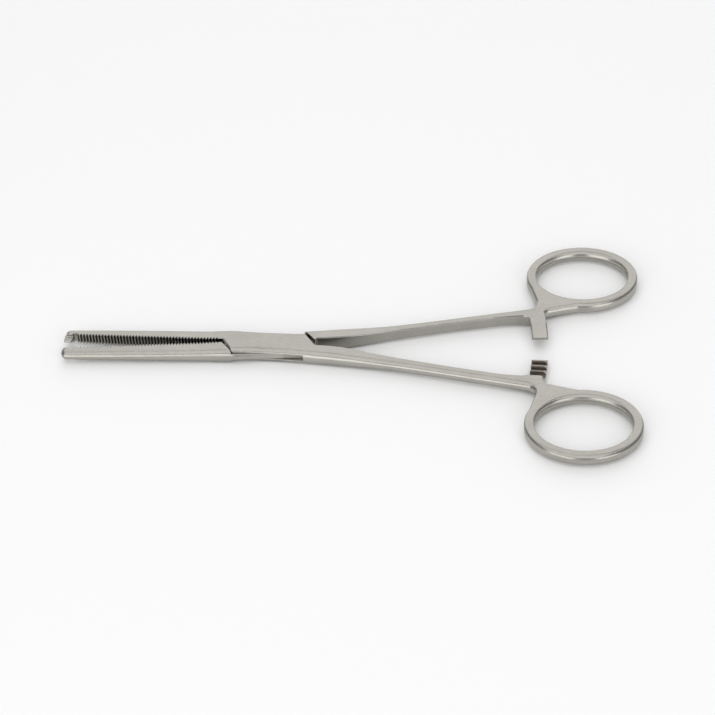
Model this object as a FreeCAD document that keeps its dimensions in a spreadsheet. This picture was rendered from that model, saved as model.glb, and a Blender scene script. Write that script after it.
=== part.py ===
"""Straight locking forceps: two forged halves joined by a riveted box lock.

Frame: +X from the pivot towards the finger rings, +Y across the instrument, +Z up, in millimetres.
The origin is the pivot axis at the level of the box's underside. Each half is drawn closed, with its
jaw along the X axis, and is turned about the pivot to the slightly open position it rests in.
"""
import FreeCAD, Part
import math
import os
import re

import Sketcher
from FreeCAD import Placement, Rotation, Vector

SIZES = {
    # Opening
    "opening_angle": 5.4,         # degrees between the closed and the resting position
    # Jaws
    "jaw_length": 58.0,           # pivot to tip
    "jaw_tip_width": 2.45,
    "jaw_mid_width": 3.2,
    "jaw_mid_place": 38.0,
    "jaw_heel_width": 3.75,
    "jaw_heel_place": 16.5,
    "jaw_tip_depth": 1.4,         # half thickness at the tip
    "jaw_heel_depth": 2.1,        # half thickness at the heel
    # Serrations
    "serration_start": 14.2,      # pivot to the first crest
    "serration_pitch": 0.88,
    "serration_count": 46,
    "serration_depth": 0.75,
    "serration_land": 0.2,        # flat left on each crest
    "serration_mesh": 0.15,       # how far each row of crests passes the middle line when closed
    "face_relief": 0.12,          # plain stretches of the jaw faces stand back this far
    # Tip teeth
    "tooth_height": 1.6,          # beyond the middle line
    "tooth_length": 2.4,
    "tooth_base_width": 1.2,
    "tooth_point_width": 0.4,
    "tooth_point_length": 1.9,
    "tooth_clearance": 0.16,
    "tip_recess_radius": 0.62,
    "tip_recess_place": 2.85,     # tip to the middle of the recess
    "tip_round": 1.45,
    # Box lock
    "box_half_width": 4.05,
    "box_waist": 3.79,
    "box_depth": 2.45,            # half thickness
    "lock_angle": 53.0,           # shoulders to the long axis
    "lock_front": 13.0,           # pivot to the cheeks' front edge, on the middle line
    "lock_rear": 12.4,            # pivot to the cheeks' rear edge
    "slot_reach": 12.9,           # pivot to the slot's end walls
    "slot_height": 2.1,
    "tongue_side_play": 0.06,     # above and below the tongue
    "tongue_end_play": 0.25,
    "shoulder_play": 0.25,
    "cheek_bevel": 0.3,
    # Pivot
    "pin_radius": 1.5,
    "pin_head_radius": 2.1,
    "pin_head_depth": 0.5,
    "pin_running_play": 0.05,
    # Shanks: points of their sides, by their place along X and distance off the middle line
    "shank_gap": 0.8,             # inner side where the box ends
    "throat_place": 19.0,         # inner side, on the curve behind the box
    "throat_line": 0.92,
    "inner_near_place": 25.0,     # inner side, where that curve ends
    "inner_near_line": 1.75,
    "inner_far_place": 62.0,      # inner side, short of the ratchet bar
    "inner_far_line": 8.125,
    "outer_place": 45.0,          # outer side, where its straight stretch ends
    "outer_line": 7.86,
    "taper_end": 37.0,            # where the thickness has come down to the shank's
    "shank_depth": 1.82,          # half thickness
    "outer_round": 1.3,
    "inner_bevel": 0.35,
    # Web between shank, ratchet and ring
    "web_wall": 8.7,              # middle line to the wall that the ratchet bar stands out of
    "web_root": 11.4,             # middle line to the foot of the bar's outer side
    "crotch_place": 74.75,        # where the outer side and the web's side would meet
    "crotch_line": 12.56,
    "crotch_reach": 3.3,          # from there to the ends of the curve between them
    "web_fillet_near": 1.8,       # corner between shank and bar
    "web_fillet_far": 2.2,        # corner between bar and web
    "web_round": 0.95,
    "web_slope": 20.0,            # degrees, web's side where that corner ends
    "web_join_near": 165.0,       # degrees round the ring from its rear end, where the web's sides join
    "web_join_far": 93.0,
    # Ratchet bars
    "ratchet_radius": 74.4,       # pivot to the middle of the bar
    "ratchet_width": 4.4,
    "ratchet_overlap": 0.7,       # bar end beyond the middle line when closed
    "ratchet_pitch": 2.1,
    "ratchet_count": 3,
    "ratchet_height": 1.6,
    "ratchet_land": 0.15,         # flat on each tooth's crest
    "ratchet_mesh": 0.45,         # tooth crests beyond the middle plane
    "ratchet_bevel_outer": 0.8,
    "ratchet_bevel_inner": 0.35,
    # Finger rings
    "ring_place": 87.2,
    "ring_line": 25.7,
    "ring_half_length": 14.2,
    "ring_half_width": 11.4,
    "ring_tilt": 2.7,             # long axis to the closed instrument's axis, in degrees
    "rod_width": 2.67,
    "rod_depth": 1.8,             # half thickness
    "rod_corner": 1.0,            # what each corner is ground back from, in two flats
}
SHEET = "Sizes"
ALIASES = re.compile(r"\b(" + "|".join(SIZES) + r")\b")
SLOPE = "/ tan(lock_angle * 1 deg)"
WASTE = 1.0                       # how far cutting outlines run past the metal

document = FreeCAD.newDocument("Forceps")
sheet = document.addObject("Spreadsheet::Sheet", SHEET)
for row, (alias, value) in enumerate(SIZES.items(), start=1):
    sheet.set(f"A{row}", alias.replace("_", " "))
    sheet.set(f"B{row}", str(value))
    sheet.setAlias(f"B{row}", alias)
document.recompute()


def full(expression):
    """An expression with each size's name led by the sheet's."""
    return ALIASES.sub(SHEET + r".\1", str(expression))


def value_of(expression):
    """The number that an expression over the sizes gives."""
    result = sheet.evalExpression(full(expression))
    return float(getattr(result, "Value", result))


def bind(item, **properties):
    """Tie properties of a feature to expressions over the sizes; __ in a name stands for a dot."""
    for name, expression in properties.items():
        item.setExpression(name.replace("__", "."), full(expression))


def origin_plane(body, role):
    return next(feature for feature in body.Origin.OriginFeatures if feature.Role == role)


def new_body(name):
    body = document.addObject("PartDesign::Body", name)
    body.Label = name
    return body


def new_sketch(body, name, role="XY_Plane", **offsets):
    """A sketch on one of the body's own origin planes, moved by expressions."""
    sketch = body.newObject("Sketcher::SketchObject", name)
    sketch.AttachmentSupport = [(origin_plane(body, role), "")]
    sketch.MapMode = "FlatFace"
    for name_part, expression in offsets.items():
        bind(sketch, **{"AttachmentOffset__" + name_part: expression})
    return sketch


def hold(sketch, kind, *where):
    """Add a dimension whose value is the last argument, an expression over the sizes."""
    *places, expression = where
    index = sketch.addConstraint(Sketcher.Constraint(kind, *places, value_of(expression)))
    sketch.setExpression(f"Constraints[{index}]", full(expression))


def hold_point(sketch, geometry, position, x, y):
    hold(sketch, "DistanceX", geometry, position, x)
    hold(sketch, "DistanceY", geometry, position, y)


def end_direction(start, via, end):
    """Unit tangent at the end of the arc start, via, end."""
    arc = Part.Arc(start, via, end).toShape()
    first, last = arc.FirstParameter, arc.LastParameter
    if arc.valueAt(last).distanceToPoint(end) < arc.valueAt(first).distanceToPoint(end):
        return arc.Curve.tangent(last)[0]
    return arc.Curve.tangent(first)[0].negative()


def tangent_via(start, direction, end):
    """The middle of the arc that leaves start along direction and ends at end."""
    chord = end - start
    turn = math.atan2(direction.x * chord.y - direction.y * chord.x, direction.dot(chord))
    normal = Vector(chord.y, -chord.x, 0)
    return start + chord / 2 + normal * (math.tan(turn / 2) / 2)


def trace(sketch, corners):
    """Draw a closed outline; return the middle of each of its stretches.

    A corner is (x, y) at the end of a straight stretch, (x, y, via_x, via_y) at the end of an arc,
    or (x, y, "tangent") at the end of an arc that goes on smoothly from the stretch before it.
    """
    points = [Vector(value_of(c[0]), value_of(c[1]), 0) for c in corners]
    middles = []
    ends = []
    direction = None
    for index in range(len(corners)):
        start = points[index]
        target = (index + 1) % len(corners)
        end = points[target]
        extra = corners[target][2:]
        if not extra or target == 0:
            geometry = sketch.addGeometry(Part.LineSegment(start, end), False)
            first, last = 1, 2
            middle = (start + end) / 2
            direction = (end - start).normalize()
        else:
            smooth = extra[0] == "tangent"
            middle = tangent_via(start, direction, end) if smooth else Vector(
                value_of(extra[0]), value_of(extra[1]), 0)
            geometry = sketch.addGeometry(Part.ArcOfCircle(start, middle, end), False)
            forward = sketch.getPoint(geometry, 1).distanceToPoint(start) < 1e-6
            first, last = (1, 2) if forward else (2, 1)
            direction = end_direction(start, middle, end)
            if not smooth:
                point = sketch.addGeometry(Part.Point(middle), True)
                sketch.addConstraint(Sketcher.Constraint("PointOnObject", point, 1, geometry))
                hold_point(sketch, point, 1, extra[0], extra[1])
        kind = "Tangent" if extra and target != 0 and extra[0] == "tangent" else "Coincident"
        if ends:
            sketch.addConstraint(Sketcher.Constraint(kind, ends[-1][0], ends[-1][2], geometry, first))
        ends.append((geometry, first, last))
        middles.append(middle)
        hold_point(sketch, geometry, first, corners[index][0], corners[index][1])
    sketch.addConstraint(Sketcher.Constraint("Coincident", ends[-1][0], ends[-1][2], ends[0][0], ends[0][1]))
    return middles


def mirrored(corners, side):
    """The same outline with Y multiplied by side."""
    result = []
    for corner in corners:
        flipped = [corner[0], f"{side} * ({corner[1]})"]
        if len(corner) == 4:
            flipped += [corner[2], f"{side} * ({corner[3]})"]
        else:
            flipped += corner[2:]
        result.append(tuple(flipped))
    return result


def settle(body, feature, grows):
    """Recompute up to the feature and check that it added or removed metal as it should.

    A fillet adds metal in one corner and takes it off another, so it has grows=None.
    """
    before = body.Shape.Volume if body.Shape and not body.Shape.isNull() else 0.0
    feature.Refine = False
    body.Tip = feature
    document.recompute()
    if {"Invalid", "Error"} & set(feature.State) or body.Shape.isNull():
        raise RuntimeError(f"{body.Label}: {feature.Name} failed: {feature.getStatusString()}")
    change = body.Shape.Volume - before
    if change == 0 or (grows is not None and (change > 0) != grows):
        raise RuntimeError(f"{body.Label}: {feature.Name} changed the volume by {change:.3f}")
    return feature


def pad(body, name, sketch, length, midplane=False):
    feature = body.newObject("PartDesign::Pad", name)
    feature.Profile = sketch
    feature.SideType = "Symmetric" if midplane else "One side"
    bind(feature, Length=length)
    sketch.Visibility = False
    return settle(body, feature, grows=True)


def pocket(body, name, sketch, length=None, midplane=False, flipped=False):
    """Cut the sketch through all the metal, or to a length where one is given."""
    feature = body.newObject("PartDesign::Pocket", name)
    feature.Profile = sketch
    feature.SideType = "Symmetric" if midplane else "One side"
    feature.Reversed = flipped
    if length is None:
        feature.Type = "ThroughAll"
    else:
        bind(feature, Length=length)
    return settle(body, feature, grows=False)


def repeat(body, name, feature, axis, length, count, flipped=False):
    """Repeat a cut along one of the body's own axes, over a length, a number of times in all."""
    pattern = body.newObject("PartDesign::LinearPattern", name)
    pattern.Originals = [feature]
    pattern.Direction = (origin_plane(body, axis), [""])
    pattern.Reversed = flipped
    bind(pattern, Length=length, Occurrences=count)
    return settle(body, pattern, grows=False)


def edges_of_walls(shape, middles, keep):
    """Names of the edges that bound the upright walls through the given points and pass keep."""
    walls = []
    for middle in middles:
        spot = Part.Vertex(middle)
        near = [face for face in shape.Faces
                if face.BoundBox.isInside(middle) or face.Surface.TypeId != "Part::GeomPlane"]
        walls += [face for face in near if face.distToShape(spot)[0] < 1e-4][:1]
    bounds = [edge for wall in walls for edge in wall.Edges]
    return [f"Edge{number}" for number, edge in enumerate(shape.Edges, start=1)
            if keep(edge) and any(edge.isSame(other) for other in bounds)]


def dress_edges(body, kind, name, middles, keep, **sizes):
    """Fillet or chamfer the edges of the walls through the given points that pass keep."""
    base = body.Tip
    names = edges_of_walls(base.Shape, middles, keep)
    feature = body.newObject("PartDesign::" + kind, name)
    feature.Base = (base, names)
    bind(feature, **sizes)
    return settle(body, feature, grows=None)


def lies_flat(edge):
    """True for an edge that runs round the top or the bottom, not up a wall."""
    ends = [vertex.Point for vertex in edge.Vertexes]
    return min(abs(point.z) for point in ends) > 0.5 and ends[0].z * ends[-1].z > 0


def stands_up(edge):
    """True for a straight upright edge."""
    ends = [vertex.Point for vertex in edge.Vertexes]
    return len(ends) == 2 and abs(ends[0].x - ends[1].x) + abs(ends[0].y - ends[1].y) < 1e-6


def towards(start, end, distance):
    """X and Y of the point at a distance from start towards end."""
    run = f"(({end[0]}) - ({start[0]}))"
    rise = f"(({end[1]}) - ({start[1]}))"
    step = f"({distance}) / sqrt({run}^2 + {rise}^2)"
    return f"{start[0]} + {run} * {step}", f"{start[1]} + {rise} * {step}"


def on_circle(radius, y):
    """X and Y of the point at height y on a circle about the pivot."""
    return f"sqrt(({radius})^2 - ({y})^2)", f"{y}"


BAR_INNER = "(ratchet_radius - ratchet_width / 2)"
BAR_OUTER = "(ratchet_radius + ratchet_width / 2)"
CROTCH_POINT = ("crotch_place", "-crotch_line")
OUTER_POINT = ("outer_place", "-outer_line")
INSET = 0.1                       # how far joined outlines run into the metal that they join


def ring_point(angle, offset):
    """X and Y of a point on the ring, offset outwards from the middle line of its rod."""
    along = f"(ring_half_length + {offset}) * cos(({angle}) * 1 deg)"
    across = f"(ring_half_width + {offset}) * sin(({angle}) * 1 deg)"
    cosine, sine = "cos(ring_tilt * 1 deg)", "sin(ring_tilt * 1 deg)"
    x = f"ring_place + {along} * {cosine} - {across} * {sine}"
    y = f"-ring_line + {along} * {sine} + {across} * {cosine}"
    return x, y


def web_outline():
    """The outline from the shank's inner side, past the bar and the ring, to the crotch."""
    rod = f"(rod_width / 2 - {INSET})"
    near_x = on_circle(BAR_INNER, "web_wall")[0]
    foot_x = on_circle(BAR_OUTER, "web_root")[0]
    return [
        (f"{near_x} - web_fillet_near", "-web_wall", "tangent"),
        on_circle(f"{BAR_INNER} + {INSET}", "(web_fillet_near - web_wall)") + ("tangent",),
        on_circle(f"{BAR_OUTER} - {INSET}", "(web_fillet_far - web_root)"),
        on_turn(foot_x, "web_slope") + on_turn(foot_x, "45 + web_slope / 2"),
        ring_point("web_join_far", rod) + ("tangent",),
        ring_point("web_join_far", 0),
        ring_point("web_join_near", 0) + ring_point("(web_join_near + web_join_far) / 2", 0),
        ring_point("web_join_near", rod),
        towards(CROTCH_POINT, ring_point("web_join_near", rod), "crotch_reach"),
    ]


def on_turn(foot_x, slope):
    """X and Y of the point of the far corner where it falls at a slope in degrees."""
    x = f"{foot_x} + web_fillet_far * (1 - sin(({slope}) * 1 deg))"
    y = f"-web_root + web_fillet_far * (1 - cos(({slope}) * 1 deg))"
    return x, y


def half_outline(front, rear):
    """Plan of the half whose jaw is on the +Y side; front and rear place the ends of its box part."""
    relief = "face_relief"
    crest = "-serration_mesh"
    first = "-serration_start"
    last = "-(serration_start + serration_count * serration_pitch)"
    box = "box_half_width"
    return [
        (f"-({front}) - {relief} {SLOPE}", relief),
        (first, relief),
        (first, crest),
        (last, crest),
        (last, relief),
        ("-jaw_length", relief),
        ("-jaw_length", "jaw_tip_width"),
        ("-jaw_heel_place", "jaw_heel_width", "-jaw_mid_place", "jaw_mid_width"),
        (f"-({front}) + {box} {SLOPE}", box),
        (f"{rear} - {box} {SLOPE}", box, "0", "box_waist"),
        (f"{rear} + shank_gap {SLOPE}", "-shank_gap"),
        ("inner_near_place", "-inner_near_line", "throat_place", "-throat_line"),
        ("inner_far_place", "-inner_far_line", "tangent"),
    ] + web_outline() + [
        towards(CROTCH_POINT, OUTER_POINT, "crotch_reach") + ("tangent",),
        OUTER_POINT,
        (f"{rear} - {box} {SLOPE}", f"-{box}", "tangent"),
        (f"-({front}) + {box} {SLOPE}", f"-{box}", "tangent"),
    ]


# The stretches of that outline, in order, each from its corner to the next
(HEEL, CREST_START, CRESTS, CREST_END, FACE_END, TIP, JAW_SIDE, BOX_STEP, BOX_FAR, CHEEK_REAR,
 THROAT, INNER_SIDE, INNER_END, CORNER_NEAR, WALL, CORNER_FAR, WEB_SIDE, ROD_IN, ROD_ACROSS, ROD_OUT,
 CROTCH_SIDE, CROTCH, OUTER_SIDE, OUTER_CURVE, BOX_NEAR, CHEEK_FRONT) = range(26)


def trim_depth(body):
    """Bring the half down from the box's thickness to the jaw's taper and the shank's."""
    sketch = new_sketch(body, "DepthProfile", "XZ_Plane")
    clear = f"(box_depth + {WASTE})"
    for side in (1, -1):
        trace(sketch, [
            ("-(lock_front - 1)", f"{side} * {clear}"),
            ("-(lock_front - 1)", f"{side} * box_depth"),
            ("-(jaw_heel_place + 1.5)", f"{side} * jaw_heel_depth"),
            (f"-(jaw_length + {WASTE})", f"{side} * jaw_tip_depth"),
            (f"-(jaw_length + {WASTE})", f"{side} * {clear}"),
        ])
        trace(sketch, [
            ("lock_rear", f"{side} * {clear}"),
            (f"ring_place + {WASTE}", f"{side} * {clear}"),
            (f"ring_place + {WASTE}", f"{side} * shank_depth"),
            ("taper_end", f"{side} * shank_depth"),
            ("(taper_end + lock_rear) / 2", f"{side} * (shank_depth + box_depth) / 2", "tangent"),
            ("lock_rear", f"{side} * box_depth", "tangent"),
        ])
    return pocket(body, "DepthTaper", sketch, midplane=True)


def add_blank(body, side, front, rear):
    """The forging without ring and bar: plan, side profile and rounded edges."""
    sketch = new_sketch(body, "Plan")
    walls = trace(sketch, mirrored(half_outline(front, rear), side))
    pad(body, "Blank", sketch, "2 * box_depth", midplane=True)
    trim_depth(body)
    outer = [walls[i] for i in (JAW_SIDE, BOX_STEP, BOX_FAR, CROTCH_SIDE, CROTCH, OUTER_SIDE,
                                OUTER_CURVE, BOX_NEAR)]
    inner = [walls[i] for i in (THROAT, INNER_SIDE, INNER_END, CORNER_NEAR)]
    web = [walls[i] for i in (CORNER_FAR, WEB_SIDE)]
    dress_edges(body, "Fillet", "TipCorner", [walls[JAW_SIDE]],
                lambda edge: stands_up(edge) and edge.Vertexes[0].X < -value_of("jaw_length") + 0.01,
                Radius="tip_round")
    dress_edges(body, "Fillet", "OuterRound", outer, lies_flat, Radius="outer_round")
    dress_edges(body, "Fillet", "WebRound", web, lies_flat, Radius="web_round")
    dress_edges(body, "Chamfer", "InnerBevel", inner, lies_flat, Size="inner_bevel")


def turned(body, kind, name, sketch, grows, angles=None):
    """Revolve a half section round the pivot axis: once round, or by two angles from its plane."""
    feature = body.newObject("PartDesign::" + kind, name)
    feature.Profile = sketch
    feature.ReferenceAxis = (sketch, ["V_Axis"])
    if angles is None:
        feature.Angle = 360
    else:
        feature.Type = "TwoAngles"
        bind(feature, Angle=angles[0], Angle2=angles[1])
    return settle(body, feature, grows)


def add_ellipse(sketch, half_x, half_y):
    """An ellipse about the sketch's origin, longer along X, held by its two diameters."""
    curve = Part.Ellipse(Vector(value_of(half_x), 0, 0), Vector(0, value_of(half_y), 0), Vector())
    ellipse = sketch.addGeometry(curve, False)
    sketch.exposeInternalGeometry(ellipse)
    long_line, short_line = ellipse + 1, ellipse + 2
    sketch.addConstraint(Sketcher.Constraint("Coincident", ellipse, 3, -1, 1))
    sketch.addConstraint(Sketcher.Constraint("Horizontal", long_line))
    hold(sketch, "Distance", long_line, f"2 * {half_x}")
    hold(sketch, "Distance", short_line, f"2 * {half_y}")


def rod_corners():
    """The rod's section, counter-clockwise: two flats at 30 degrees to each other on every corner."""
    centre = ("(rod_width / 2 - rod_corner)", "(rod_depth - rod_corner)")
    long, short = "rod_corner", "rod_corner * tan(15 deg)"
    middle = "rod_corner / cos(15 deg) * sin(45 deg)"
    quarter = [(long, short), (middle, middle), (short, long)]
    corners = []
    for along, across, steps in ((1, 1, 1), (-1, 1, -1), (-1, -1, 1), (1, -1, -1)):
        corners += [(f"{along} * ({centre[0]} + {x})", f"{across} * ({centre[1]} + {y})")
                    for x, y in quarter[::steps]]
    return corners


def add_ring(body, side):
    """The finger ring: a twelve-sided rod, as ground by hand from the forging, swept round an ellipse."""
    line = new_sketch(body, "RingLine")
    line.AttachmentOffset = Placement(Vector(), Rotation(Vector(0, 0, side), value_of("ring_tilt")))
    bind(line, AttachmentOffset__Base__x="ring_place", AttachmentOffset__Base__y=f"-{side} * ring_line",
         AttachmentOffset__Rotation__Angle="ring_tilt")
    add_ellipse(line, "ring_half_length", "ring_half_width")
    section = new_sketch(body, "RodSection", "XZ_Plane")
    section.AttachmentOffset = Placement(Vector(), Rotation(Vector(0, side, 0), value_of("ring_tilt")))
    bind(section,
         AttachmentOffset__Base__x="ring_place + ring_half_length * cos(ring_tilt * 1 deg)",
         AttachmentOffset__Base__z=f"{side} * (ring_line - ring_half_length * sin(ring_tilt * 1 deg))",
         AttachmentOffset__Rotation__Angle="ring_tilt")
    trace(section, rod_corners())
    document.recompute()
    ring = body.newObject("PartDesign::AdditivePipe", "Ring")
    ring.Profile = section
    ring.Spine = (line, ["Edge1"])
    return settle(body, ring, grows=True)


def add_ratchet(body, side):
    """The bar with its rack of saw teeth: teeth up on the half with side 1, down on the other."""
    teeth, plain = f"{side} * ratchet_mesh", f"-{side} * shank_depth"
    section = new_sketch(body, "BarSection", "XZ_Plane")
    trace(section, [
        (BAR_INNER, f"{plain} + {side} * ratchet_bevel_inner"),
        (f"{BAR_INNER} + ratchet_bevel_inner", plain),
        (f"{BAR_OUTER} - ratchet_bevel_inner", plain),
        (BAR_OUTER, f"{plain} + {side} * ratchet_bevel_inner"),
        (BAR_OUTER, f"{teeth} - {side} * ratchet_bevel_outer"),
        (f"{BAR_OUTER} - ratchet_bevel_outer", teeth),
        (f"{BAR_INNER} + ratchet_bevel_inner", teeth),
        (BAR_INNER, f"{teeth} - {side} * ratchet_bevel_inner"),
    ])
    ahead, behind = f"asin(ratchet_overlap / {BAR_OUTER})", "asin(web_root / ratchet_radius)"
    turned(body, "Revolution", "Bar", section, True, (ahead, behind) if side == 1 else (behind, ahead))

    reach = {"AttachmentOffset__Base__z": f"{BAR_INNER} - web_fillet_near"}
    width = "ratchet_width + web_fillet_near + web_fillet_far"
    above = f"{side} * (shank_depth + {WASTE})"
    root = f"{side} * (ratchet_mesh - ratchet_height)"
    tooth = new_sketch(body, "ToothGap", "YZ_Plane")
    bind(tooth, **reach)
    crest = f"{side} * (ratchet_overlap - ratchet_pitch + ratchet_land)"
    trace(tooth, [
        (f"{side} * ratchet_overlap", root),
        (f"{side} * ratchet_overlap", above),
        (crest, above),
        (crest, teeth),
    ])
    gap = pocket(body, "ToothCut", tooth, width, flipped=True)
    repeat(body, "Teeth", gap, "Y_Axis", "(ratchet_count - 1) * ratchet_pitch", "ratchet_count", side == 1)
    back = new_sketch(body, "BackGap", "YZ_Plane")
    bind(back, **reach)
    last = f"{side} * (ratchet_overlap - ratchet_count * ratchet_pitch)"
    wall = f"-{side} * web_wall"
    trace(back, [(last, root), (last, above), (wall, above), (wall, root)])
    pocket(body, "BackCut", back, width, flipped=True)


def bevel_shoulder(body, name, side, place, start, outward):
    """Bevel the top and bottom edges of a slanted shoulder of the box.

    The shoulder crosses the middle line at place. The cut starts at the distance start beyond that line
    and runs off the box: outward is 1 at the shoulder towards the ring, -1 at the one towards the tip.
    """
    sketch = new_sketch(body, name, "XZ_Plane")
    turn = "90 - lock_angle"
    sketch.AttachmentOffset = Placement(Vector(), Rotation(Vector(0, side, 0), value_of(turn)))
    bind(sketch, AttachmentOffset__Base__x=f"{place} + ({start}) {SLOPE}",
         AttachmentOffset__Base__z=f"{side} * ({start})", AttachmentOffset__Rotation__Angle=turn)
    for level in (1, -1):
        trace(sketch, [
            (f"-{outward} * (cheek_bevel + {WASTE})", f"{level} * (box_depth + {WASTE})"),
            (f"{outward} * {WASTE}", f"{level} * (box_depth - cheek_bevel - {WASTE})"),
            (f"{outward} * {WASTE}", f"{level} * (box_depth + {WASTE})"),
        ])
    length = f"(box_half_width + shank_gap) / sin(lock_angle * 1 deg) + {WASTE}"
    return pocket(body, name + "Bevel", sketch, length, flipped=(outward * side < 0))


def lock_window(front, rear):
    """Plan of the space that the two halves share in the lock, seen on the half with side 1."""
    clear = "(2 * box_half_width)"
    return [
        (f"-({front})", "0"),
        (f"-({front}) + {clear} {SLOPE}", clear),
        (f"{rear}", clear),
        (f"{rear}", "0"),
        (f"{rear} - {clear} {SLOPE}", f"-{clear}"),
        (f"-({front})", f"-{clear}"),
    ]


def add_serrations(body, side, first, count):
    """Cross grooves along the jaw's face; the crests of one jaw stand in the grooves of the other."""
    half = "(serration_pitch - serration_land) / 2"
    groove = new_sketch(body, "Groove")
    trace(groove, mirrored([
        (f"-({first}) - {half}", "-serration_mesh"),
        (f"-({first}) - {half}", f"-serration_mesh - {WASTE}"),
        (f"-({first}) + {half}", f"-serration_mesh - {WASTE}"),
        (f"-({first}) + {half}", "-serration_mesh"),
        (f"-({first})", "serration_depth - serration_mesh"),
    ], side))
    cut = pocket(body, "GrooveCut", groove, midplane=True)
    repeat(body, "Serrations", cut, "X_Axis", f"({count} - 1) * serration_pitch", count, flipped=True)


def add_tip_recess(body, side):
    """The round groove across the jaw's face behind the tip teeth."""
    sketch = new_sketch(body, "RecessPlan")
    centre = Vector(-value_of("jaw_length - tip_recess_place"), side * value_of("face_relief"), 0)
    circle = sketch.addGeometry(Part.Circle(centre, Vector(0, 0, 1), value_of("tip_recess_radius")), False)
    hold_point(sketch, circle, 3, "-(jaw_length - tip_recess_place)", f"{side} * face_relief")
    hold(sketch, "Radius", circle, "tip_recess_radius")
    pocket(body, "TipRecess", sketch, midplane=True)


def tooth_section(body, name, depth, length, width, front, play):
    """A section of the tip tooth, depth beyond the middle line, grown by a play all round."""
    sketch = new_sketch(body, name, "XZ_Plane")
    bind(sketch, AttachmentOffset__Base__z=depth)
    back, half = f"-(jaw_length - {length}) + {play}", f"({width} / 2 + {play})"
    trace(sketch, [(front, f"-{half}"), (back, f"-{half}"), (back, half), (front, half)])
    return sketch


def loft(body, kind, name, sketches, grows):
    feature = body.newObject("PartDesign::" + kind, name)
    feature.Profile = sketches[0]
    feature.Sections = sketches[1:]
    feature.Ruled = True
    return settle(body, feature, grows)


def pin_profile(sketch):
    """Half the pin's section: a shank with a flush cone head at each end."""
    shoulder = "box_depth - pin_head_depth"
    trace(sketch, [
        ("0", "-box_depth"),
        ("pin_head_radius", "-box_depth"),
        ("pin_radius", f"-({shoulder})"),
        ("pin_radius", shoulder),
        ("pin_head_radius", "box_depth"),
        ("0", "box_depth"),
    ])


def set_in_place(body, turn):
    """Turn a half by half the opening about the pivot and lift the box's underside to Z = 0."""
    body.Placement = Placement(Vector(), Rotation(Vector(0, 0, turn), value_of("opening_angle / 2")))
    bind(body, Placement__Base__z="box_depth", Placement__Rotation__Angle="opening_angle / 2")


def build_female():
    """The half with the slotted box and the single tip tooth."""
    body = new_body("female_half")
    side = 1
    add_blank(body, side, "lock_front", "lock_rear")
    add_ring(body, side)
    bevel_shoulder(body, "CheekFront", side, "-lock_front", "-face_relief", -1)
    bevel_shoulder(body, "CheekRear", side, "lock_rear", "shank_gap", 1)
    window = new_sketch(body, "SlotPlan")
    trace(window, lock_window("slot_reach", "slot_reach"))
    pocket(body, "Slot", window, "slot_height", midplane=True)
    seat = new_sketch(body, "PinSeat", "XZ_Plane")
    pin_profile(seat)
    turned(body, "Groove", "PinHole", seat, grows=False)
    tooth = [
        tooth_section(body, "ToothBase", "-face_relief - tooth_clearance", "tooth_length",
                      "tooth_base_width", "-jaw_length", "0"),
        tooth_section(body, "ToothPoint", "tooth_height", "tooth_point_length",
                      "tooth_point_width", "-jaw_length", "0"),
    ]
    loft(body, "AdditiveLoft", "TipTooth", tooth, grows=True)
    add_tip_recess(body, side)
    add_ratchet(body, side)
    add_serrations(body, side, "serration_start + serration_pitch / 2", "serration_count")
    set_in_place(body, -1)
    return body


def build_male():
    """The half with the tongue that passes through the box, and the notched tip."""
    body = new_body("male_half")
    side = -1
    add_blank(body, side, "slot_reach - tongue_end_play", "slot_reach - tongue_end_play")
    add_ring(body, side)
    relief = new_sketch(body, "ReliefPlan")
    bind(relief, AttachmentOffset__Base__z="slot_height / 2 - tongue_side_play")
    trace(relief, mirrored(lock_window("lock_front + shoulder_play", "lock_rear + shoulder_play"), side))
    cut = pocket(body, "TongueTop", relief, "box_depth", flipped=True)
    under = body.newObject("PartDesign::Mirrored", "TongueUnderside")
    under.Originals = [cut]
    under.MirrorPlane = (origin_plane(body, "XY_Plane"), [""])
    settle(body, under, grows=False)
    bore = new_sketch(body, "BorePlan")
    radius = "pin_radius + pin_running_play"
    circle = bore.addGeometry(Part.Circle(Vector(), Vector(0, 0, 1), value_of(radius)), False)
    bore.addConstraint(Sketcher.Constraint("Coincident", circle, 3, -1, 1))
    hold(bore, "Radius", circle, radius)
    pocket(body, "Bore", bore, midplane=True)
    open_front = f"-(jaw_length + {WASTE})"
    notch = [
        tooth_section(body, "NotchMouth", "-face_relief - tooth_clearance", "tooth_length",
                      "tooth_base_width", open_front, "tooth_clearance"),
        tooth_section(body, "NotchFloor", "tooth_height + tooth_clearance", "tooth_point_length",
                      "tooth_point_width", open_front, "tooth_clearance"),
    ]
    loft(body, "SubtractiveLoft", "TipNotch", notch, grows=False)
    add_tip_recess(body, side)
    add_ratchet(body, side)
    add_serrations(body, side, "serration_start", "serration_count + 1")
    set_in_place(body, 1)
    return body


def build_pin():
    """The rivet that joins the halves: fast in the cheeks, free in the tongue."""
    body = new_body("pivot_pin")
    section = new_sketch(body, "PinSection", "XZ_Plane")
    pin_profile(section)
    turned(body, "Revolution", "Rivet", section, grows=True)
    bind(body, Placement__Base__z="box_depth")
    return body


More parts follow.
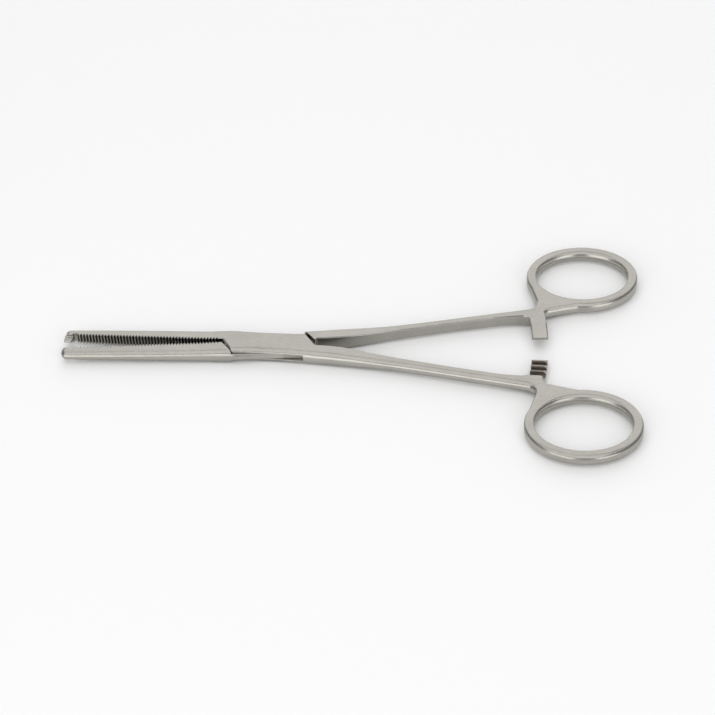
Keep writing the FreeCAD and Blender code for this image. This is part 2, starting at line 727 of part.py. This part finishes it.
def main():
    """Build the pieces, check them and write one file for each."""
    pieces = [build_female(), build_male(), build_pin()]
    document.recompute()
    for item in document.Objects:
        if {"Invalid", "Error"} & set(item.State):
            raise RuntimeError(f"{item.Label} is {item.State}")
    os.makedirs("parts", exist_ok=True)
    for piece in pieces:
        shape = piece.Shape
        if shape.isNull() or not shape.isValid() or len(shape.Solids) != 1:
            raise RuntimeError(f"{piece.Label} is not one valid solid")
        shape.exportStep(f"parts/{piece.Label}.step")
        box = shape.BoundBox
        print(f"{piece.Label}: {shape.Volume:.1f} mm3, {len(shape.Faces)} faces, "
              f"x {box.XMin:.2f} to {box.XMax:.2f}, y {box.YMin:.2f} to {box.YMax:.2f}, "
              f"z {box.ZMin:.2f} to {box.ZMax:.2f}")


main()
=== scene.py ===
"""Satin steel locking forceps on a pale table, lit by soft studio lamps."""
import logging
import math
from dataclasses import dataclass
from enum import Enum

import bpy
from mathutils import Matrix, Vector


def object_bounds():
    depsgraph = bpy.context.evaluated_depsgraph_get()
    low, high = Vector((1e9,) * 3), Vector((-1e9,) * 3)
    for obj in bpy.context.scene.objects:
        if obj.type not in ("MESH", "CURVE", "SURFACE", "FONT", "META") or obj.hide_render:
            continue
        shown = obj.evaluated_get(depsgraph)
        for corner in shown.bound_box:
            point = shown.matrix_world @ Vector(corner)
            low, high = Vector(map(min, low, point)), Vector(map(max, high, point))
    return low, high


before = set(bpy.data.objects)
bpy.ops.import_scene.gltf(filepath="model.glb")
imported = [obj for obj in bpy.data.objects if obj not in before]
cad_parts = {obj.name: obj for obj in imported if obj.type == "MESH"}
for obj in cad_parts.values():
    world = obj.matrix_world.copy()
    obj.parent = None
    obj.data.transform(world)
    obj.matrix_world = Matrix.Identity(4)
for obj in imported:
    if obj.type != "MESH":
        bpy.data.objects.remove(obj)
CAD_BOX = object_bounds()

MM = 0.001
NOISE_LOW, NOISE_HIGH = 0.3, 0.7      # nearly all values of a noise pattern lie between these
MIX_FROM, MIX_TO, MIX_RESULT = 4, 5, 1          # vector sockets of a Mix node, which share their names
LOG = logging.getLogger("forceps")

Socket = bpy.types.NodeSocket
Tree = bpy.types.NodeTree
Colour = tuple[float, float, float, float]
Stretch = tuple[float, float, float, float]     # lowest and highest X, then Y, in millimetres


class Side(Enum):
    """Which way a half is turned about the pivot while the instrument rests."""

    SLOTTED = -1
    TONGUE = 1


class Lay(Enum):
    """How the polishing lines of a finish run."""

    ALONG = (0.12, 1.0, 1.0)
    NONE = (1.0, 1.0, 1.0)


def linear(code: str) -> Colour:
    """Turn an sRGB hex code into linear colour.

    Args:
        code: Six hex digits after a hash sign.

    Returns:
        Red, green, blue and an alpha of one.
    """
    channels = [int(code[i:i + 2], 16) / 255 for i in (1, 3, 5)]
    values = [c / 12.92 if c <= 0.04045 else ((c + 0.055) / 1.055) ** 2.4 for c in channels]
    return (values[0], values[1], values[2], 1.0)


def shaded(colour: Colour, factor: float) -> Colour:
    """Multiply the channels of a linear colour, up to white."""
    return tuple(min(1.0, channel * factor) for channel in colour[:3]) + (1.0,)


def add_node(
    tree: Tree,
    kind: str,
    settings: dict[str, object] | None = None,
    inputs: dict[str | int, object] | None = None,
) -> bpy.types.Node:
    """Add one node with its settings and what goes into its sockets.

    Args:
        tree: The node tree that takes the node.
        kind: The node's type, without the ShaderNode in front.
        settings: Attributes of the node.
        inputs: Socket name or number to a value, or to another node's output socket.

    Returns:
        The new node.
    """
    node = tree.nodes.new("ShaderNode" + kind)
    for name, value in (settings or {}).items():
        setattr(node, name, value)
    for name, value in (inputs or {}).items():
        if isinstance(value, Socket):
            tree.links.new(value, node.inputs[name])
        else:
            node.inputs[name].default_value = value
    return node


def new_material(name: str) -> tuple[bpy.types.Material, Tree]:
    """Start an empty node material.

    Args:
        name: The material's name.

    Returns:
        The material and its node tree.
    """
    material = bpy.data.materials.new(name)
    material.use_nodes = True
    material.node_tree.nodes.clear()
    return material, material.node_tree


def paint(thing: bpy.types.Object, material: bpy.types.Material) -> None:
    """Put a material in all of an object's slots, on the object itself.

    Args:
        thing: The object to paint.
        material: What it gets.
    """
    if not thing.material_slots:
        thing.data.materials.append(None)
    for slot in thing.material_slots:
        slot.link = "OBJECT"
        slot.material = material


@dataclass(frozen=True)
class Pattern:
    """A noise pattern of a real size."""

    size_mm: float
    detail: float = 2.0               # how many finer octaves it has
    roughness: float = 0.5            # how strong these are

    def draw(self, tree: Tree, place: Socket) -> Socket:
        """Add the pattern to a material.

        Args:
            tree: The material's node tree.
            place: The shaded point, in metres.

        Returns:
            The pattern's value.
        """
        noise = add_node(tree, "TexNoise", None, {
            "Vector": place, "Scale": 1 / (self.size_mm * MM), "Detail": self.detail,
            "Roughness": self.roughness})
        return noise.outputs["Fac"]


@dataclass(frozen=True)
class Spot:
    """The shaded point: where it lies in its piece's own axes, and which way its surface looks."""

    place: Socket
    along: Socket
    across: Socket
    height: Socket
    facing: Socket                    # share of the surface's direction along Y
    plain: Socket                     # the normal as the solid has it


@dataclass(frozen=True)
class SatinSteel:
    """Martensitic stainless steel, ground and blasted to a satin: a soft grey without mirror images."""

    name: str
    turn: float = 0.0                 # degrees from the piece's own long axis to the model's X axis
    lay: Lay = Lay.ALONG

    colour: str = "#a6a49d"           # clean satin steel
    wear_and_highlight_colour: str = "#bebdb8"      # edges lighter: partly wear from handling, partly a painted highlight
    crevice_shade_colour: str = "#686360"      # painted shade that darkens grooves, slots and crevices
    tooth_shade_colour: str = "#a29b94"     # painted shade: the darker grey of the ratchet's steep faces

    grain: Pattern = Pattern(0.22, 3.0, 0.6)              # real grain is near 0.05 mm; drawn coarser to show
    grain_tones: tuple[float, float] = (0.94, 1.05)
    grain_depth_mm: float = 0.012
    grain_strength: float = 0.25
    clouds: Pattern = Pattern(9.0, 4.0, 0.55)             # left by handling and passivation
    cloud_tones: tuple[float, float] = (0.93, 1.05)
    roughness: tuple[float, float] = (0.20, 0.27)         # in dark and in light clouds
    worn_roughness: float = 0.15

    edge_mm: float = 0.12             # radius of the edges with wear and painted highlight
    edge_samples: int = 4
    edge_bend: tuple[float, float] = (0.99, 0.9)          # cosines where wear and painted highlight start and are complete
    crevice_mm: float = 0.9           # how far the painted shade reaches out of a crevice
    crevice_samples: int = 8
    crevice_open: tuple[float, float] = (0.62, 0.3)       # open shares where the painted shade starts and is complete
    tooth_facing: tuple[float, float] = (0.5, 0.7)        # where a tooth's face starts to take painted shade, and takes it fully

    ease_mm: float = 0.32             # how far the polishing wheel has run the surfaces together
    ease_samples: int = 12
    crown: float = 1.2                # upward lean of a side's shading at its top; one is 45 degrees
    crown_start: float = 0.2          # share of the thickness below which a side doesn't lean
    wall_facing: float = 0.1          # within this a wall fades from an outer one to an inner one
    thick_mm: float = 4.9
    flush_mm: float = 2.6             # round the pivot, rivet and cheek were ground as one face
    flush_border_mm: float = 0.1
    stretch_border_mm: float = 0.08

    ring_side: int = 1                # which way along Y the ring lies, and the ratchet's steep faces look
    rack_stretches: tuple[Stretch, ...] = ()    # the ratchet: painted shade on its steep faces, and not crowned
    flat: tuple[Stretch, ...] = ()    # the serrated bite, not crowned
    walled: tuple[Stretch, ...] = ()  # the shank, whose inner wall isn't crowned

    def spot(self, tree: Tree) -> Spot:
        """Find the shaded point on the piece.

        Args:
            tree: The material's node tree.

        Returns:
            Its place in metres, and its directions.
        """
        turn = math.radians(self.turn)
        where = add_node(tree, "TexCoord")
        own = add_node(tree, "Mapping", None, {
            "Vector": where.outputs["Object"], "Rotation": (0.0, 0.0, turn)})
        axes = add_node(tree, "SeparateXYZ", None, {"Vector": own.outputs["Vector"]})
        turned = add_node(tree, "VectorRotate", {"rotation_type": "Z_AXIS"}, {
            "Vector": where.outputs["Normal"], "Angle": turn})
        facing = add_node(tree, "SeparateXYZ", None, {"Vector": turned.outputs["Vector"]})
        surface = add_node(tree, "NewGeometry")
        return Spot(
            place=own.outputs["Vector"],
            along=axes.outputs["X"],
            across=axes.outputs["Y"],
            height=axes.outputs["Z"],
            facing=facing.outputs["Y"],
            plain=surface.outputs["Normal"],
        )

    def both(self, tree: Tree, one: Socket, other: Socket) -> Socket:
        """Keep what two masks share."""
        product = add_node(tree, "Math", {"operation": "MULTIPLY"}, {0: one, 1: other})
        return product.outputs["Value"]

    def without(self, tree: Tree, factor: Socket, mask: Socket) -> Socket:
        """Take a mask out of a factor, down to zero."""
        rest = add_node(tree, "Math", {"operation": "SUBTRACT", "use_clamp": True}, {0: factor, 1: mask})
        return rest.outputs["Value"]

    def covered(self, tree: Tree, colour: Socket, where: Socket, code: str) -> Socket:
        """Lay another colour over the metal where a mask is one."""
        mix = add_node(tree, "Mix", {"data_type": "RGBA"}, {"Factor": where, "A": colour, "B": linear(code)})
        return mix.outputs["Result"]

    def masked(self, tree: Tree, spot: Spot, stretch: Stretch) -> Socket:
        """Mask a stretch of the piece, with soft borders.

        Args:
            tree: The material's node tree.
            spot: The shaded point.
            stretch: What to mask.

        Returns:
            One inside the stretch and zero outside it.
        """
        soft = self.stretch_border_mm
        mask = None
        for axis, low, high in ((spot.along, *stretch[:2]), (spot.across, *stretch[2:])):
            for start, end in ((low - soft, low + soft), (high + soft, high - soft)):
                step = add_node(tree, "MapRange", {"interpolation_type": "SMOOTHSTEP"}, {
                    "Value": axis, "From Min": start * MM, "From Max": end * MM}).outputs["Result"]
                mask = step if mask is None else self.both(tree, mask, step)
        return mask

    def off_rivet(self, tree: Tree, spot: Spot) -> Socket:
        """Tell the rivet's flush surroundings from the rest of the piece.

        Args:
            tree: The material's node tree.
            spot: The shaded point.

        Returns:
            Zero round the pivot and one elsewhere.
        """
        plan = add_node(tree, "CombineXYZ", None, {"X": spot.along, "Y": spot.across})
        reach = add_node(tree, "VectorMath", {"operation": "LENGTH"}, {0: plan.outputs["Vector"]})
        outside = add_node(tree, "MapRange", None, {
            "Value": reach.outputs["Value"], "From Min": (self.flush_mm - self.flush_border_mm) * MM,
            "From Max": self.flush_mm * MM})
        return outside.outputs["Result"]

    def wear_and_highlight(self, tree: Tree, spot: Spot, off_rivet: Socket) -> Socket:
        """Find the edges that are lighter, partly from wear by handling and partly as a painted highlight.

        Args:
            tree: The material's node tree.
            spot: The shaded point.
            off_rivet: Zero where edges were ground away.

        Returns:
            One on such an edge and zero on a face.
        """
        rounded = add_node(tree, "Bevel", {"samples": self.edge_samples}, {"Radius": self.edge_mm * MM})
        bend = add_node(tree, "VectorMath", {"operation": "DOT_PRODUCT"}, {
            0: rounded.outputs["Normal"], 1: spot.plain})
        edge = add_node(tree, "MapRange", None, {
            "Value": bend.outputs["Value"], "From Min": self.edge_bend[0], "From Max": self.edge_bend[1]})
        return self.both(tree, edge.outputs["Result"], off_rivet)

    def painted_crevice_shade(self, tree: Tree) -> Socket:
        """Find the crevices that take painted shade.

        Args:
            tree: The material's node tree.

        Returns:
            One far into a crevice and zero in the open.
        """
        crevice = add_node(tree, "AmbientOcclusion", {"samples": self.crevice_samples}, {
            "Distance": self.crevice_mm * MM})
        depth = add_node(tree, "MapRange", {"interpolation_type": "SMOOTHSTEP"}, {
            "Value": crevice.outputs["AO"], "From Min": self.crevice_open[0],
            "From Max": self.crevice_open[1]})
        return depth.outputs["Result"]

    def tooth_shade_faces(self, tree: Tree, spot: Spot, rack: Socket) -> Socket:
        """Find the steep faces of the ratchet's teeth, which take painted shade.

        Args:
            tree: The material's node tree.
            spot: The shaded point.
            rack: One on the ratchet.

        Returns:
            One on a steep face of a tooth.
        """
        steep = add_node(tree, "MapRange", None, {
            "Value": spot.facing, "From Min": self.tooth_facing[0] * self.ring_side,
            "From Max": self.tooth_facing[1] * self.ring_side})
        return self.both(tree, rack, steep.outputs["Result"])

    def inner_wall(self, tree: Tree, spot: Spot, stretch: Stretch) -> Socket:
        """Find the wall of a stretch that looks away from the ring's side.

        Args:
            tree: The material's node tree.
            spot: The shaded point.
            stretch: Part of the piece.

        Returns:
            One on its inner wall.
        """
        inward = add_node(tree, "MapRange", None, {
            "Value": spot.facing, "From Min": self.wall_facing * self.ring_side,
            "From Max": -self.wall_facing * self.ring_side})
        return self.both(tree, self.masked(tree, spot, stretch), inward.outputs["Result"])

    def mottled(self, tree: Tree, clouds: Socket, grain: Socket) -> Socket:
        """Vary the clean metal with its clouds and its grain.

        Args:
            tree: The material's node tree.
            clouds: Value of the coarse pattern.
            grain: Value of the fine pattern.

        Returns:
            The clean metal's colour.
        """
        tone = add_node(tree, "ValToRGB", None, {"Fac": clouds})
        for stop, value, factor in zip(tone.color_ramp.elements, (NOISE_LOW, NOISE_HIGH), self.cloud_tones):
            stop.position = value
            stop.color = shaded(linear(self.colour), factor)
        speckle = add_node(tree, "MapRange", None, {
            "Value": grain, "From Min": NOISE_LOW, "From Max": NOISE_HIGH,
            "To Min": self.grain_tones[0], "To Max": self.grain_tones[1]})
        metal = add_node(tree, "VectorMath", {"operation": "SCALE"}, {
            0: tone.outputs["Color"], "Scale": speckle.outputs["Result"]})
        return metal.outputs["Vector"]

    def gloss(self, tree: Tree, clouds: Socket, wear_and_highlight: Socket) -> Socket:
        """Let the clouds, and the edges that handling has burnished, change how rough the metal is.

        Args:
            tree: The material's node tree.
            clouds: Value of the coarse pattern.
            wear_and_highlight: One on the edges.

        Returns:
            The roughness.
        """
        satin = add_node(tree, "MapRange", None, {
            "Value": clouds, "From Min": NOISE_LOW, "From Max": NOISE_HIGH,
            "To Min": self.roughness[0], "To Max": self.roughness[1]})
        mix = add_node(tree, "Mix", {"data_type": "FLOAT"}, {
            "Factor": wear_and_highlight, "A": satin.outputs["Result"], "B": self.worn_roughness})
        return mix.outputs["Result"]

    def polished(self, tree: Tree, spot: Spot, off_rivet: Socket, crowned: Socket) -> Socket:
        """Run faces together over their edges, and lean the sides upward as if a wheel had crowned them.

        Args:
            tree: The material's node tree.
            spot: The shaded point.
            off_rivet: Zero where rivet and cheek are one flat face.
            crowned: One where the sides lean.

        Returns:
            The normal to shade with; the mesh itself stays as it is.
        """
        run = add_node(tree, "Bevel", {"samples": self.ease_samples}, {"Radius": self.ease_mm * MM})
        eased = add_node(tree, "Mix", {"data_type": "VECTOR"}, {
            "Factor": off_rivet, MIX_FROM: spot.plain, MIX_TO: run.outputs["Normal"]})
        rise = add_node(tree, "MapRange", None, {
            "Value": spot.height, "From Min": self.crown_start * self.thick_mm * MM,
            "From Max": self.thick_mm * MM, "To Max": self.crown})
        upward = add_node(tree, "CombineXYZ", None, {"Z": self.both(tree, rise.outputs["Result"], crowned)})
        leaned = add_node(tree, "VectorMath", {"operation": "ADD"}, {
            0: eased.outputs[MIX_RESULT], 1: upward.outputs["Vector"]})
        normal = add_node(tree, "VectorMath", {"operation": "NORMALIZE"}, {0: leaned.outputs["Vector"]})
        return normal.outputs["Vector"]

    def build(self) -> bpy.types.Material:
        """Make the material.

        Returns:
            The finished material.
        """
        material, tree = new_material(self.name)
        spot = self.spot(tree)
        drawn = add_node(tree, "Mapping", None, {"Vector": spot.place, "Scale": self.lay.value})
        grain = self.grain.draw(tree, drawn.outputs["Vector"])
        clouds = self.clouds.draw(tree, spot.place)
        off_rivet = self.off_rivet(tree, spot)
        wear_and_highlight = self.wear_and_highlight(tree, spot, off_rivet)
        painted_crevice_shade = self.painted_crevice_shade(tree)

        colour = self.mottled(tree, clouds, grain)
        # edges lighter: partly wear, partly a painted highlight
        colour = self.covered(tree, colour, wear_and_highlight, self.wear_and_highlight_colour)
        # crevices darkened with painted shade
        colour = self.covered(tree, colour, painted_crevice_shade, self.crevice_shade_colour)
        crowned = off_rivet
        for stretch in self.walled:
            crowned = self.without(tree, crowned, self.inner_wall(tree, spot, stretch))
        for stretch in self.rack_stretches:
            rack = self.masked(tree, spot, stretch)
            crowned = self.without(tree, crowned, rack)
            # steep tooth faces get a painted shade
            colour = self.covered(tree, colour, self.tooth_shade_faces(tree, spot, rack), self.tooth_shade_colour)
        for stretch in self.flat:
            crowned = self.without(tree, crowned, self.masked(tree, spot, stretch))
        crowned = self.without(tree, crowned, painted_crevice_shade)

        bump = add_node(tree, "Bump", None, {
            "Height": grain, "Strength": self.grain_strength, "Distance": self.grain_depth_mm * MM,
            "Normal": self.polished(tree, spot, off_rivet, crowned)})
        shader = add_node(tree, "BsdfPrincipled", None, {
            "Base Color": colour, "Metallic": 1.0, "Roughness": self.gloss(tree, clouds, wear_and_highlight),
            "Normal": bump.outputs["Normal"]})
        add_node(tree, "OutputMaterial", None, {"Surface": shader.outputs["BSDF"]})
        return material


@dataclass(frozen=True)
class PaperWhite:
    """Seamless white paper: matt, with no sheen, so that it only keeps the soft shadow."""

    name: str = "matt_white_paper"
    colour: str = "#fbfbfb"
    fibres: Pattern = Pattern(0.4)
    fibre_tones: tuple[float, float] = (0.995, 1.0)

    def build(self) -> bpy.types.Material:
        """Make the material.

        Returns:
            The finished material.
        """
        material, tree = new_material(self.name)
        where = add_node(tree, "TexCoord")
        tone = add_node(tree, "ValToRGB", None, {"Fac": self.fibres.draw(tree, where.outputs["Object"])})
        for stop, factor in zip(tone.color_ramp.elements, self.fibre_tones):
            stop.color = shaded(linear(self.colour), factor)
        shader = add_node(tree, "BsdfDiffuse", None, {"Color": tone.outputs["Color"]})
        add_node(tree, "OutputMaterial", None, {"Surface": shader.outputs["BSDF"]})
        return material


@dataclass
class ForgedHalf:
    """One forged half of the forceps, from its jaw to its finger ring.

    Its stretches run along X from the pivot, and across Y towards its own ring, in millimetres.
    """

    node: str
    side: Side
    opening: float = 5.4              # degrees between the halves at rest
    rack_along: tuple[float, float] = (71.0, 77.5)
    rack_across: tuple[float, float] = (-0.8, 5.9)
    bite_along: tuple[float, float] = (-60.0, -8.0)
    bite_across: tuple[float, float] = (-0.9, 1.0)
    shank_along: tuple[float, float] = (4.0, 71.0)
    shank_across: tuple[float, float] = (-30.0, 30.0)     # wider than the shank, so that no wall is missed

    def stretch(self, along: tuple[float, float], across: tuple[float, float]) -> Stretch:
        """Lay a stretch out in the piece's own axes."""
        low, high = sorted(border * self.side.value for border in across)
        return (*along, low, high)

    def dress(self) -> bpy.types.Material:
        """Give the solid its satin finish, with painted shade on the steep faces of its ratchet.

        Returns:
            The half's material.
        """
        material = SatinSteel(
            name=f"satin_stainless_{self.node}",
            turn=-self.side.value * self.opening / 2,
            ring_side=self.side.value,
            rack_stretches=(self.stretch(self.rack_along, self.rack_across),),
            flat=(self.stretch(self.bite_along, self.bite_across),),
            walled=(self.stretch(self.shank_along, self.shank_across),),
        ).build()
        paint(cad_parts[self.node], material)
        return material


@dataclass
class PivotRivet:
    """The rivet of the box lock, ground flush with both cheeks."""

    node: str = "pivot_pin"
    grain: Pattern = Pattern(0.16, 3.0, 0.6)              # a little finer than on the halves

    def dress(self) -> bpy.types.Material:
        """Give the rivet its ground finish, which has no lay.

        Returns:
            The rivet's material.
        """
        material = SatinSteel(name="ground_stainless_rivet", lay=Lay.NONE, grain=self.grain).build()
        paint(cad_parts[self.node], material)
        return material


@dataclass(frozen=True)
class SoftBox:
    """A soft box that faces the instrument: even light, and shadows with soft borders."""

    name: str
    place: tuple[float, float, float]           # metres
    size: tuple[float, float]                   # width and height in metres
    watts: float
    aim: tuple[float, float, float] = (0.02, 0.0, 0.0)

    def hang(self) -> bpy.types.Object:
        """Hang the soft box in its place.

        Returns:
            The lamp.
        """
        data = bpy.data.lights.new(self.name, "AREA")
        data.shape = "RECTANGLE"
        data.size, data.size_y = self.size
        data.energy = self.watts
        thing = bpy.data.objects.new(self.name, data)
        thing.location = self.place
        thing.rotation_euler = (Vector(self.aim) - Vector(self.place)).to_track_quat("-Z", "Y").to_euler()
        bpy.context.scene.collection.objects.link(thing)
        return thing


@dataclass
class Studio:
    """Table, lamps, surroundings and camera."""

    elevation: float = 42.19          # camera above the table, in degrees
    yaw: float = 7.26
    roll: float = -4.26
    distance: float = 532.29          # millimetres, camera to the point it looks at
    target: tuple[float, float, float] = (24.67, -3.93, 2.45)
    focal_px: float = 1946.75
    image_px: int = 715
    sensor_mm: float = 36.0
    clip: tuple[float, float] = (0.01, 20.0)              # nearest and farthest, in metres
    table_mm: float = 6000.0
    table_gap_mm: float = 0.01        # keeps the paper clear of the faces that rest on it
    walls: tuple[float, str] = (0.22, "#ffffff")          # up to this Z of a direction, and its colour
    upper_walls: tuple[float, str] = (0.5, "#9c9c9d")
    ceiling: tuple[float, str] = (1.0, "#a0a0a0")
    room_strength: float = 0.98
    lamps: tuple[SoftBox, ...] = (
        SoftBox("back_soft_box", (0.05, 0.75, 0.75), (1.2, 0.9), 3.25),
        SoftBox("overhead_soft_box", (0.0, -0.12, 0.9), (1.0, 0.8), 2.55),
        SoftBox("left_soft_box", (-0.42, -0.75, 0.6), (0.75, 0.55), 2.4),
        SoftBox("right_soft_box", (0.62, -0.75, 0.6), (0.6, 0.55), 1.9),
    )

    def table(self) -> bpy.types.Object:
        """Lay the paper table.

        Returns:
            The table.
        """
        half = self.table_mm * MM / 2
        level = CAD_BOX[0][2] - self.table_gap_mm * MM
        corners = [(x * half, y * half, level) for x, y in ((-1, -1), (1, -1), (1, 1), (-1, 1))]
        mesh = bpy.data.meshes.new("paper_table")
        mesh.from_pydata(corners, [], [(0, 1, 2, 3)])
        mesh.update()
        thing = bpy.data.objects.new("paper_table", mesh)
        bpy.context.scene.collection.objects.link(thing)
        paint(thing, PaperWhite().build())
        return thing

    def surroundings(self) -> bpy.types.World:
        """Fill the room with soft white light that is strongest round the horizon, as from white walls.

        Returns:
            The world.
        """
        world = bpy.data.worlds.new("white_room")
        world.use_nodes = True
        tree = world.node_tree
        tree.nodes.clear()
        where = add_node(tree, "TexCoord")
        axes = add_node(tree, "SeparateXYZ", None, {"Vector": where.outputs["Generated"]})
        ramp = add_node(tree, "ValToRGB", None, {"Fac": axes.outputs["Z"]})
        stops = ramp.color_ramp.elements
        for stop, (rise, code) in zip(stops, (self.walls, self.ceiling)):
            stop.position, stop.color = rise, linear(code)
        stops.new(self.upper_walls[0]).color = linear(self.upper_walls[1])
        light = add_node(tree, "Background", None, {
            "Color": ramp.outputs["Color"], "Strength": self.room_strength})
        add_node(tree, "OutputWorld", None, {"Surface": light.outputs["Background"]})
        bpy.context.scene.world = world
        return world

    def camera(self) -> bpy.types.Object:
        """Place the camera at the photograph's angle.

        Returns:
            The scene's camera.
        """
        rise, turn, tilt = (math.radians(a) for a in (self.elevation, self.yaw, self.roll))
        back = Vector((math.sin(turn) * math.cos(rise), -math.cos(turn) * math.cos(rise), math.sin(rise)))
        right = Vector((0, 0, 1)).cross(back).normalized()
        up = back.cross(right)
        across = math.cos(tilt) * right + math.sin(tilt) * up
        upward = -math.sin(tilt) * right + math.cos(tilt) * up
        place = (Vector(self.target) + self.distance * back) * MM
        data = bpy.data.cameras.new("camera")
        data.sensor_width = self.sensor_mm
        data.lens = self.focal_px * self.sensor_mm / self.image_px
        data.clip_start, data.clip_end = self.clip
        thing = bpy.data.objects.new("camera", data)
        basis = Matrix((across, upward, back)).transposed().to_4x4()
        thing.matrix_world = Matrix.Translation(place) @ basis
        bpy.context.scene.collection.objects.link(thing)
        bpy.context.scene.camera = thing
        return thing

    def build(self) -> None:
        """Set up the table, the lamps, the surroundings and the camera."""
        LOG.info("table: %s", self.table().name)
        for lamp in self.lamps:
            LOG.info("lamp: %s", lamp.hang().name)
        LOG.info("surroundings: %s", self.surroundings().name)
        LOG.info("camera: %s", self.camera().name)
        bpy.context.scene.view_settings.view_transform = "Standard"


def main() -> None:
    """Dress the solids, set the stage and report each piece."""
    logging.basicConfig(level=logging.INFO, format="%(name)s: %(message)s")
    halves = (ForgedHalf("female_half", Side.SLOTTED), ForgedHalf("male_half", Side.TONGUE))
    for piece in (*halves, PivotRivet()):
        LOG.info("%s: %s", piece.node, piece.dress().name)
    Studio().build()


if __name__ == "__main__":
    main()
